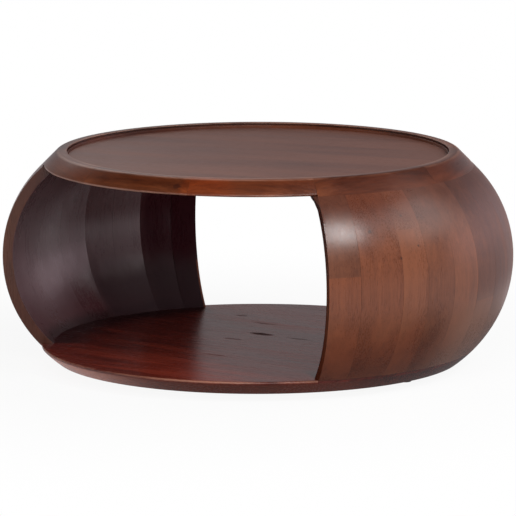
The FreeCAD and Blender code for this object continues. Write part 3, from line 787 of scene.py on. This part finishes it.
# Small dark marks on the right shell: place and half size
SHELL_MARKS = (
    (0.375, -0.198, 0.295, 0.0042), (0.414, -0.159, 0.248, 0.003), (0.421, -0.119, 0.265, 0.0028),
    (0.400, -0.190, 0.160, 0.003), (0.391, -0.129, 0.315, 0.0025), (0.417, 0.012, 0.090, 0.004),
)
MARK_PAINT = paint(52, 26, 22)
INSIDE_SHADE = paint(78, 30, 42)  # painted shade inside a shell, towards its back end
INSIDE_SHEEN = paint(107, 63, 69)  # painted purple sheen inside, from there to its front end
FOOT_SHADE_PAINT = paint(26, 12, 14)  # painted shade inside, in the corner with the base
DUSK_SHADE_PAINT = paint(56, 22, 32)  # painted shade low inside, towards the back
FLOOR_REFLECTION_PAINT = paint(180, 140, 122)  # painted reflection of the floor, low outside, on the right shell's far half
LOW_SHADE_TINT = (0.92, 0.74, 0.62)  # painted shade outside, low under the bulge, which also reddens it
HIGH_SHADE_TINT = (0.68, 0.6, 0.64)  # painted shade outside, at the shoulder
LUMP_RELIEF = 22  # depth of the scraper's waves inside

# Where each painted shade, painted sheen and painted reflection starts and where it is full:
# heights, and angles from the shell's middle towards the back
FOOT_SHADE_UP = (0.058, 0.04)
DUSK_SHADE_UP = (0.155, 0.085)
DUSK_SHADE_TURN = (0.09, 0.16)
SHEEN_TURN = (0.47, 0.41)
LOW_SHADE_UP = (0.15, 0.075)
HIGH_SHADE_UP = (0.255, 0.325)
FLOOR_REFLECTION_UP = (0.18, 0.1)


def distance(place, mark):
    """How far a point is from a mark."""
    return vector_maths("DISTANCE", place, mark).output("Value")


def stave_stain_and_light(tree, colour, place):
    """Marks of the shells, with painted shade and a purple painted sheen inside, painted shade at the
    shoulder and low down, also redder there, and a painted reflection low on the right.
    """
    ground = object_place(tree)
    x, y, z = parts_of(ground)
    wander = noise(ground, (14, 14, 9), 3, 0.6) - 0.5
    rubbed_in = noise(place, (9, 5, 9), 3, 0.6) - 0.5
    turned = maths("ARCTAN2", y, maths("ABSOLUTE", x))
    # Inside, a painted sheen towards the front end and painted shade towards the back
    sheen_share = ranged(turned + rubbed_in * 0.12, *SHEEN_TURN)
    behind = ranged(turned + rubbed_in * 0.06, *DUSK_SHADE_TURN)
    deep = painted(sheen_share, (*INSIDE_SHADE, 1), INSIDE_SHEEN)
    deep = blended(0.97, colour, deep)
    # Painted shade at the foot, in the corner with the base
    foot_shade = ranged(z + wander * 0.02, *FOOT_SHADE_UP)
    deep = painted(foot_shade * 0.7, deep, FOOT_SHADE_PAINT)
    # Painted shade low inside, towards the back
    dusk_shade = ranged(z + wander * 0.06, *DUSK_SHADE_UP) * behind
    deep = painted(dusk_shade * 0.8, deep, DUSK_SHADE_PAINT)

    # Outside, painted shade low under the bulge and at the shoulder
    colour = tinted(ranged(z + wander * 0.11, *LOW_SHADE_UP), colour, LOW_SHADE_TINT)
    colour = tinted(ranged(z + wander * 0.08, *HIGH_SHADE_UP), colour, HIGH_SHADE_TINT)
    # Low on the far half of the right shell, a pale painted reflection of the floor
    floor_reflection = ranged(z + wander * 0.06, *FLOOR_REFLECTION_UP)
    floor_reflection = floor_reflection * ranged(y, -0.1, 0.03) * ranged(x, 0.3, 0.36)
    colour = painted(floor_reflection * 0.45, colour, FLOOR_REFLECTION_PAINT)
    ragged = noise(ground, (300, 300, 900), 2, 0.6)
    for across, along, up, size in SHELL_MARKS:
        mark = distance(ground, (across, along, up)) / size + ragged * 1.6
        colour = painted(ranged(mark, 1.9, 1.2) * 0.8, colour, MARK_PAINT)

    inside = ranged(number_kept(tree, "inside"), 0.9, 0.999)
    brushed = noise(place, (160, 9, 160), 3, 0.6) - 0.5
    # The far edge of that shell is duller
    far_limb = ranged(y, -0.1, 0.12) * ranged(x, 0.25, 0.35) * ranged(z, 0.1, 0.2)
    matt = inside * (rubbed_in * 0.25 + brushed * 0.14 + dusk_shade * 0.3) + far_limb * 0.2
    relief = inside * noise(place, (26, 11, 26), 2, 0.5) * LUMP_RELIEF
    coat = inside * sheen_share * (behind * 0.4 + 0.15) * (1 - dusk_shade)
    return blended(inside, colour, deep), matt, relief, coat


stave_wood = stained_wood(
    "stave_wood", paint(144, 86, 58), paint(74, 36, 24), gloss=0.29, streak=0.3, cloudy=0.6, seam=0.012,
    extra=stave_stain_and_light, worn=paint(196, 114, 76),
)


def stave_piece(name, middle, sweep, low, high, seed, eases, facet, end_wear_and_light, tone, warmth):
    """One stave, or one block of a butted one. A stave without a facet is sanded round inside."""
    steps = max(4, round((high - low) / STAVE_STEP))
    heights = [low + (high - low) * step / steps for step in range(steps + 1)]
    outside = [(curve_radius(up), up) for up in heights]
    inside = [(curve_radius(up, WALL), up) for up in reversed(heights)]
    flat = 1.0 if facet is not None else 0.0
    marks = {
        "planed": [0.0] * len(outside) + [flat] * len(inside),
        "inside": [0.0] * len(outside) + [1.0] * len(inside),
    }
    piece = swept_piece(
        name + "_sawn", outside + inside, marks, middle, sweep, stave_wood, True, seed, eases,
        facet or 0.0, end_wear_and_light,
    )
    fitted(piece, name, "stave_wood", stave_wood, tone, warmth)


# Inside, staves 3 and 4 were planed together into one flat, whose middle lies at the joint
# between them, joint 3 of the shell. The last five staves were sanded round
SHARED_FLATS = {3: 3, 4: 3}
SANDED_FROM = 5
BACK_EDGE_WEAR_AND_LIGHT = 1.8  # how rubbed the left shell's back edge is, with painted light on its end face, which lies in shade

# Tone and warmth of the staves that the photograph shows; the others vary by chance
# Staves 6 to 9 of the right shell are toned darker, as painted shade on its far side
RIGHT_TONES = {
    "1_lower": (0.1, 0.35), "1_upper": (-0.08, -0.3), "2": (0.04, 0.3), "3_lower": (0.14, 0.15),
    "3_upper": (0.16, 0.1), "4": (-0.02, -0.05), "5": (0.03, -0.1), "6_lower": (-0.08, -0.1),
    "6_upper": (-0.2, -0.1), "7": (-0.22, -0.1), "8": (-0.18, 0.0), "9": (-0.12, 0.0),
}
LEFT_TONES = {"9": (0.03, 0.0)}

for side, middle, shares, butts, tones in (
    ("right", 0.0, RIGHT_SHARES, RIGHT_BUTTS, RIGHT_TONES),
    ("left", math.pi, LEFT_SHARES, LEFT_BUTTS, LEFT_TONES),
):
    start = middle - SHELL_HALF
    joints = [start + STAVE_SPAN * sum(shares[:count]) for count in range(len(shares) + 1)]
    for number, share in enumerate(shares, 1):
        sweep = STAVE_SPAN * share
        facet = 0.0
        if number in SHARED_FLATS:
            facet = joints[SHARED_FLATS[number]] - (start + sweep / 2)
        if number >= SANDED_FROM:
            facet = None
        eases = (1.0 if number == 1 else 0.0, 1.0 if number == len(shares) else 0.0)
        end_wear_and_light = BACK_EDGE_WEAR_AND_LIGHT if side == "left" and number == 1 else 0.0
        blocks = [(f"{number}", BASE_TOP, RIM_UNDER)]
        if number in butts:
            joint = BASE_TOP + (RIM_UNDER - BASE_TOP) * butts[number]
            blocks = [(f"{number}_lower", BASE_TOP, joint), (f"{number}_upper", joint, RIM_UNDER)]
        for block, (label, low, high) in enumerate(blocks):
            seed = 100 * (side == "left") + 10 * number + block + 20
            chance = random.Random(seed)
            tone, warmth = tones.get(label, (chance.uniform(-0.06, 0.06), chance.uniform(-0.2, 0.3)))
            stave_piece(
                f"stave_{side}_{label}", start + sweep / 2, sweep, low, high, seed, eases, facet,
                end_wear_and_light, tone, warmth,
            )
        start += sweep


# Rim dowels and splines
# One beech dowel from the top of each stave up into the rim, and a loose beech spline
# across each joint of the rim. They are hidden.

refinished("rim_dowels", dowel_beech)
refinished("rim_splines", dowel_beech)


# Tray
# Seven thinner boards of the same hardwood, edge-glued with the grain from shell to shell
# and turned to a round, duller and pinker than the rest. Their turned tongue sits loose in
# the rim's groove, so no fastener shows.

TRAY_TURN = math.radians(15.5)  # the tray's boards run at this angle to the base's
TRAY_FLOOR = 0.3705
TRAY_EDGE = 0.33375
TONGUE_RADIUS = 0.343
TONGUE_LOW = 0.358
TONGUE_HIGH = 0.3645
TRAY_TONES = (0.0, 0.03, -0.03, 0.02, -0.02, 0.04, -0.01)

tray_wood = stained_wood(
    "tray_wood", paint(138, 92, 78), paint(93, 55, 46), gloss=0.42, streak=0.22, cloudy=0.8, seam=0.006,
)
tray_levels = [
    (place, place) for place in (
        (TRAY_EDGE, RIM_UNDER), (TRAY_EDGE, TONGUE_LOW), (TONGUE_RADIUS, TONGUE_LOW),
        (TONGUE_RADIUS, TONGUE_HIGH), (TRAY_EDGE, TONGUE_HIGH), (TRAY_EDGE, TRAY_FLOOR),
    )
]
round_of_boards("tray", TONGUE_RADIUS, TRAY_TONES, tray_levels, tray_wood, seed=300, turn=TRAY_TURN)


# Rim
# Ten segments of stained hardwood, splined end to end, two over each shell and three
# over each opening. The outside follows the drum's curve, the inside has a small step
# above the tray, and the lower edge is rounded where the openings leave it free.

RIM_INNER = 0.336  # inner edge of the rim's flat top
BEAD_RADIUS = 0.334
BEAD_UP = 0.3755
LIP_UNDER = 0.3788  # underside of the thin lip over the shadow groove
SHADOW_RADIUS = 0.340  # bottom of the shadow groove
GROOVE_RADIUS = 0.34325
GROOVE_HIGH = 0.36475
TOP_EASE = 0.0045  # rounding of the top edge outside
INNER_EASE = 0.0007  # rounding of the top edge inside
INNER_REACH = 0.002  # how far from that edge the stain is rubbed off
LIP_EASE = 0.006  # rounding of the lower edge in the openings
RIM_OPENING_SEGMENTS = 3
RIM_SHELL_SEGMENTS = 2
BEAD_EASE = 0.0006  # rounding of the step's edge
RIM_KNOT = (0.0865, -0.3556, 0.3663)  # the knot in the rim's front
RIM_KNOT_SIZE = 0.0055
RIM_KNOT_PAINT = paint(56, 22, 14)
RIM_HIGH = (0.356, 0.374)  # heights between which the rim darkens
RIM_HIGH_TINT = (0.74, 0.62, 0.5)
RIM_GOLDEN_TINT = (1.4, 1.08, 0.76)  # beside the knot
RIM_SHELL_SHADE_TINT = (0.62, 0.54, 0.6)  # painted shade over the shells, as at the shoulder below


def rim_stain_and_shade(tree, colour, place):
    """Stain of the rim, with painted shade: darker towards its top edge, painted shade over the shells, and
    one knot in front.
    """
    ground = object_place(tree)
    x, y, z = parts_of(ground)
    wander = noise(ground, (22, 22, 30), 3, 0.6) - 0.5
    ragged = noise(ground, (160, 160, 320), 3, 0.6) - 0.5
    colour = tinted(ranged(z + wander * 0.03, *RIM_HIGH), colour, RIM_HIGH_TINT)
    away = distance(ground, RIM_KNOT) / RIM_KNOT_SIZE
    golden = ranged(away + wander * 14, 22, 12) * ranged(x, RIM_KNOT[0], RIM_KNOT[0] + 0.015)
    colour = tinted(golden, colour, RIM_GOLDEN_TINT)
    colour = painted(ranged(away + ragged * 2.2, 1.5, 0.7) * 0.7, colour, RIM_KNOT_PAINT)
    # Painted shade over the shells
    return tinted(under_shells(x, y, 0.02, -0.06), colour, RIM_SHELL_SHADE_TINT), 0.0, 0.0, 0.0


rim_wood = stained_wood(
    "rim_wood", paint(140, 76, 44), paint(68, 29, 16), gloss=0.34, streak=0.5, seam=0.004,
    extra=rim_stain_and_shade, worn=paint(206, 160, 140),
)


def rim_outline(in_opening):
    """Section of the rim, from its lower edge inside outwards and round, some corners rounded."""
    corners = [
        (BEAD_RADIUS, RIM_UNDER), (curve_radius(RIM_UNDER), RIM_UNDER), (TOP_RADIUS, TABLE_TOP),
        (RIM_INNER, TABLE_TOP), (RIM_INNER, LIP_UNDER), (SHADOW_RADIUS, LIP_UNDER),
        (SHADOW_RADIUS, BEAD_UP), (BEAD_RADIUS, BEAD_UP), (BEAD_RADIUS, GROOVE_HIGH),
        (GROOVE_RADIUS, GROOVE_HIGH), (GROOVE_RADIUS, TONGUE_LOW), (BEAD_RADIUS, TONGUE_LOW),
    ]
    widths = {2: TOP_EASE, 3: INNER_EASE, 7: BEAD_EASE}
    if in_opening:
        widths[1] = LIP_EASE
    return rounded(corners, widths)


def rubbed_and_lit(points, arrises):
    """How worn each point of an outline is, by its distance from arrises that get rubbed."""
    worn = []
    for point in points:
        shares = [share * (1 - math.dist(point, arris) / reach) for arris, reach, share in arrises]
        worn.append(min(1.0, max(0.0, *shares)))
    return worn


RIM_TONES = (
    (0.0, 0.1), (0.02, 0.0), (0.0, 0.1), (-0.03, 0.0), (0.02, 0.1),
    (-0.02, 0.0), (0.0, 0.1), (0.03, 0.2), (-0.02, 0.1), (0.05, 0.3),
)
rim_over_shell = [(STAVE_SPAN / RIM_SHELL_SEGMENTS, False)] * RIM_SHELL_SEGMENTS
rim_over_opening = [(OPENING / 2 / RIM_OPENING_SEGMENTS, True)] * RIM_OPENING_SEGMENTS
rim_start = -SHELL_HALF
for number, (sweep, in_opening) in enumerate((rim_over_shell + rim_over_opening) * 2, 1):
    section = rim_outline(in_opening)
    worn = rubbed_and_lit(section, [
        ((curve_radius(RIM_UNDER), RIM_UNDER), LIP_EASE, 1.7 if in_opening else 0.0),
        ((TOP_RADIUS, TABLE_TOP), TOP_EASE, 0.6 if in_opening else 0.3),
        ((RIM_INNER, TABLE_TOP), INNER_REACH, 0.8),
    ])
    piece = swept_piece(
        f"rim_segment_{number}_turned", section, {"worn": worn}, rim_start + sweep / 2, sweep,
        rim_wood, False, 400 + number,
    )
    fitted(piece, f"rim_segment_{number}", "rim_wood", rim_wood, *RIM_TONES[number - 1])
    rim_start += sweep


# Floor
# A plain pale studio floor. The camera sees it white, with a faint shadow of the table.
# Polished wood sees it dimmer and faintly pink, as the photograph's reflections show it.

FLOOR_HALF = 40.0
FLOOR_UNDER = 0.0004  # how far the floor lies under the feet
FLOOR_SHADE = 0.08  # share of the floor's whiteness that shadows can take
FLOOR_NEAR_SHADOWED = 0.21  # how bright a polished surface shows the floor round the table, dimmed as a painted shadow of the table
FLOOR_LEFT = 0.55  # the same on the left, where light falls under the table
FLOOR_FAR = 0.8  # the same for the floor further off
FAR_FROM = (0.5, 0.85)  # distances from the drum's axis between which that changes
SHADE_FROM = (1.3, 0.5)  # and between which the shadow comes in
SIDE_FROM = (0.15, -0.15)  # from where to where the right half turns to the left one
WALL_TINT = (1.0, 0.9, 0.925)  # colour of the studio in polished wood
FLOOR_TONE = (0.5, 0.49, 0.48)  # light that the floor throws back, and the same on the left, painted lighter there as painted light
FLOOR_LEFT_LIT_TONE = (0.95, 0.92, 0.9)


def wall_tone(strength):
    """The studio as a polished surface shows it, at a strength."""
    return [part * strength for part in WALL_TINT]


floor_mesh = bpy.data.meshes.new("studio_floor")
floor_mesh.from_pydata(
    [(x * FLOOR_HALF, y * FLOOR_HALF, -FLOOR_UNDER) for x, y in ((-1, -1), (1, -1), (1, 1), (-1, 1))],
    [], [(0, 1, 2, 3)],
)
studio_floor = bpy.data.objects.new("studio_floor", floor_mesh)
bpy.context.scene.collection.objects.link(studio_floor)
floor_paint, tree = new_material("floor_paint")
floor_ray = node("ShaderNodeLightPath", tree=tree, output="Is Camera Ray")
floor_place = object_place(tree)
floor_away = vector_maths("LENGTH", floor_place).output("Value")
floor_left = ranged(parts_of(floor_place)[0], *SIDE_FROM)
floor_glow = node("ShaderNodeEmission", {"Color": (1, 1, 1, 1), "Strength": 1.0}, tree)
floor_white = node("ShaderNodeBsdfDiffuse", {"Color": (0.95, 0.95, 0.95, 1)}, tree)
floor_seen = node("ShaderNodeMixShader", {
    0: ranged(floor_away, *SHADE_FROM, 0, FLOOR_SHADE), 1: floor_glow, 2: floor_white,
})
# Light thrown back from the floor, painted lighter on the left as painted light
floor_grey = node("ShaderNodeBsdfDiffuse", {
    "Color": painted(floor_left, (*FLOOR_TONE, 1), FLOOR_LEFT_LIT_TONE),
})
# What polished wood sees of the floor: a glow, a painted reflection, dimmed round the table as a painted
# shadow and brighter on the left as painted light
floor_shown = painted(floor_left, (*wall_tone(FLOOR_NEAR_SHADOWED), 1), wall_tone(FLOOR_LEFT))
floor_far = ranged(floor_away, *FAR_FROM)
floor_shown = painted(floor_far, floor_shown, wall_tone(FLOOR_FAR))
floor_shine = node("ShaderNodeEmission", {"Color": floor_shown, "Strength": 1.0})
floor_dim = node("ShaderNodeMixShader", {
    0: floor_ray.output("Is Glossy Ray"), 1: floor_grey, 2: floor_shine,
})
floor_shader = node("ShaderNodeMixShader", {0: floor_ray, 1: floor_dim, 2: floor_seen})
node("ShaderNodeOutputMaterial", {"Surface": floor_shader})
floor_mesh.materials.append(floor_paint)


# Light
# A white studio round the table, and six soft boxes: a small near one and a larger one
# on the right, one behind the camera, one behind the table on the left, and two dim low
# ones, a faintly pink one behind the table and one on the left in front.

ROOM_LIGHT = 0.06  # light of the room away from the lamps
WALL_LOW = 0.46  # how much of the white wall a polished surface shows
WALL_HIGH = 0.0  # how much of the wall it shows higher up
WALL_TURNS = (0.0, 0.6)  # sines of the angles upwards that these two are for
LIT_POINT = (0, 0, 0.2)  # where the lamps point

world = bpy.data.worlds.new("studio")
world.use_nodes = True
tree = world.node_tree
tree.nodes.clear()
world_ray = node("ShaderNodeLightPath", tree=tree, output="Is Camera Ray")
world_way = node("ShaderNodeTexCoord", tree=tree, output="Generated")
wall_share = ranged(parts_of(world_way)[2], *WALL_TURNS, WALL_LOW, WALL_HIGH)
world_strength = world_ray + world_ray.output("Is Transmission Ray")
world_strength = world_strength + world_ray.output("Is Glossy Ray") * wall_share
world_strength = world_strength + world_ray.output("Is Diffuse Ray") * ROOM_LIGHT
world_colour = painted(world_ray.output("Is Glossy Ray"), (1, 1, 1, 1), WALL_TINT)
world_shader = node("ShaderNodeBackground", {
    "Color": world_colour, "Strength": world_strength,
})
node("ShaderNodeOutputWorld", {"Surface": world_shader})
bpy.context.scene.world = world


def soft_box(name, azimuth, elevation, away, width, height, power, tint=(1.0, 1.0, 1.0)):
    """A square lamp that faces the table; azimuth from +X, anticlockwise, in degrees."""
    lamp = bpy.data.lights.new(name, "AREA")
    lamp.shape = "RECTANGLE"
    lamp.size, lamp.size_y, lamp.energy = width, height, power
    lamp.color = tint
    box = bpy.data.objects.new(name, lamp)
    side, up = math.radians(azimuth), math.radians(elevation)
    towards = Vector((math.cos(side) * math.cos(up), math.sin(side) * math.cos(up), math.sin(up)))
    facing = towards.to_track_quat("Z", "Y").to_matrix().to_4x4()
    box.matrix_world = Matrix.Translation(Vector(LIT_POINT) + towards * away) @ facing
    bpy.context.scene.collection.objects.link(box)


soft_box("near_box", -12, 40, 3.0, 0.5, 0.7, 33)
soft_box("far_box", 36, 34, 3.2, 2.0, 1.4, 20)
soft_box("camera_box", -54, 35, 3.2, 2.0, 1.4, 41)
soft_box("back_box", 150, 35, 3.2, 2.0, 1.4, 10)
soft_box("low_back_box", 66, 10, 3.2, 3.0, 1.0, 12, (1.0, 0.78, 0.86))
soft_box("low_left_box", -135, 10, 3.2, 2.0, 0.9, 5)


# Camera
# A long lens, turned 35.8 degrees from square to the openings and looking 9.5 degrees
# down. It was fitted to the outlines of the table in the photograph.

LENS = 355.4  # millimetres, on film 36 mm wide
CAMERA_TURN = math.radians(35.8)
CAMERA_DOWN = math.radians(9.546)
CAMERA_LEAN = math.radians(-0.06)
CAMERA_AWAY = 8.864  # metres from the drum's axis
CAMERA_UP = 1.677

camera_data = bpy.data.cameras.new("camera")
camera_data.lens = LENS
camera_data.sensor_width = 36.0
camera_data.clip_end = 200.0
camera = bpy.data.objects.new("camera", camera_data)
camera_place = (CAMERA_AWAY * math.sin(CAMERA_TURN), -CAMERA_AWAY * math.cos(CAMERA_TURN), CAMERA_UP)
camera.matrix_world = (
    Matrix.Translation(camera_place)
    @ Matrix.Rotation(CAMERA_TURN, 4, "Z")
    @ Matrix.Rotation(math.radians(90) - CAMERA_DOWN, 4, "X")
    @ Matrix.Rotation(CAMERA_LEAN, 4, "Z")
)
bpy.context.scene.collection.objects.link(camera)
bpy.context.scene.camera = camera
bpy.context.scene.view_settings.view_transform = "Standard"
